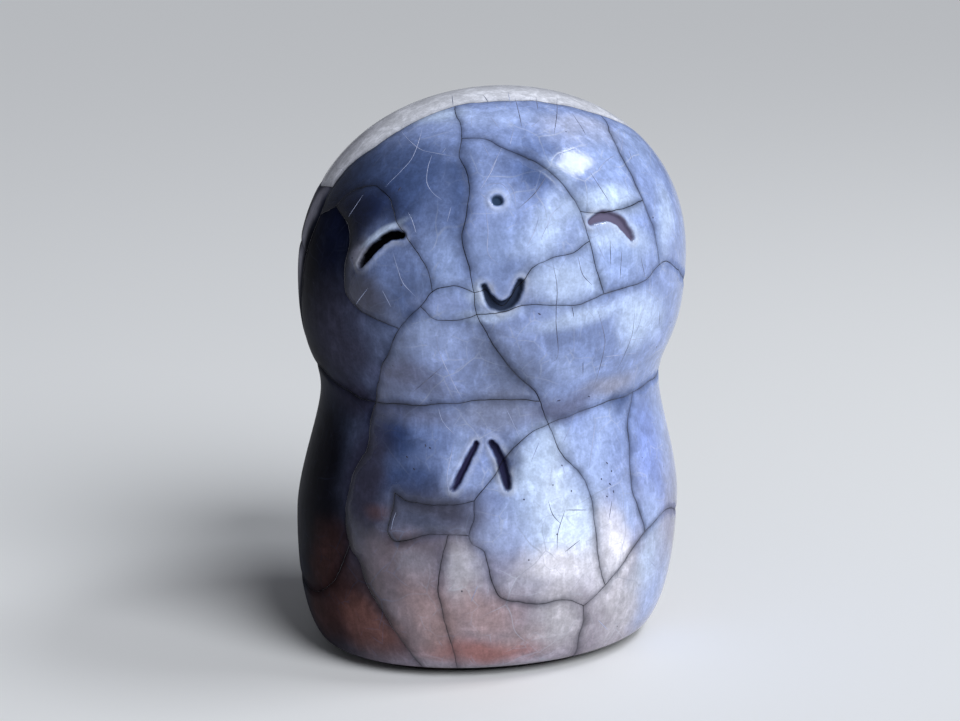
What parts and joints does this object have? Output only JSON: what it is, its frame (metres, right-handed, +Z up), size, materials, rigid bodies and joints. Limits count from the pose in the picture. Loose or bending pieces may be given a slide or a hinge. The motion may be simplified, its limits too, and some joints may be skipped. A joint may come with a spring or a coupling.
{
  "type": "jizo figurine",
  "caption": "Palm-sized hollow jizo figure in raku ceramic: round head on a robed body, drawn face and joined hands, blue crackled glaze in plates over smoked clay.",
  "frame": {"origin": "centre of the figure's bounding box, on the surface it stands on", "axes": "+Z up, the face looks along -Y, +X is at the right for a viewer who faces it"},
  "size_m": [0.0578, 0.0518, 0.08],
  "materials": {
    "smoked_clay": "unglazed clay, matt, smoked black in the firing",
    "grey_slip": "matt fired slip, dark grey",
    "cobalt_glaze": "glossy raku glaze, deep cobalt, fine craze",
    "pale_glaze": "glossy raku glaze, pale blue to white, fine craze",
    "mauve_glaze": "glossy raku glaze, thin and rosy, fine craze",
    "lavender_glaze": "glossy raku glaze, lavender blue, fine craze"
  },
  "bodies": {
    "root": {"clay_head": "smoked_clay", "clay_torso": "smoked_clay", "neck_slip": "grey_slip", "glaze_left_forehead": "cobalt_glaze", "glaze_left_eyelid": "cobalt_glaze", "glaze_left_cheek": "cobalt_glaze", "glaze_left_sleeve": "cobalt_glaze", "glaze_left_flank": "cobalt_glaze", "glaze_left_rear_temple": "cobalt_glaze", "glaze_left_rear_cheek": "cobalt_glaze", "glaze_crown": "pale_glaze", "glaze_right_brow": "pale_glaze", "glaze_right_temple": "pale_glaze", "glaze_right_eyelid": "pale_glaze", "glaze_right_cheek": "pale_glaze", "glaze_belly": "pale_glaze", "glaze_right_breast": "pale_glaze", "glaze_right_flank": "pale_glaze", "glaze_front_skirt": "mauve_glaze", "glaze_left_skirt": "mauve_glaze", "glaze_back_skirt": "mauve_glaze", "glaze_left_rear_skirt": "mauve_glaze", "glaze_girdle": "mauve_glaze", "glaze_centre_forehead": "lavender_glaze", "glaze_mouth_corner": "lavender_glaze", "glaze_chin": "lavender_glaze", "glaze_right_jowl": "lavender_glaze", "glaze_right_skirt": "lavender_glaze", "glaze_right_rear_head": "lavender_glaze", "glaze_left_rear_head": "lavender_glaze", "glaze_right_nape": "lavender_glaze", "glaze_left_nape": "lavender_glaze", "glaze_back_shoulder": "lavender_glaze", "glaze_right_rear_flank": "lavender_glaze", "glaze_left_rear_flank": "lavender_glaze", "glaze_right_rear_skirt": "lavender_glaze"}
  },
  "joints": []
}
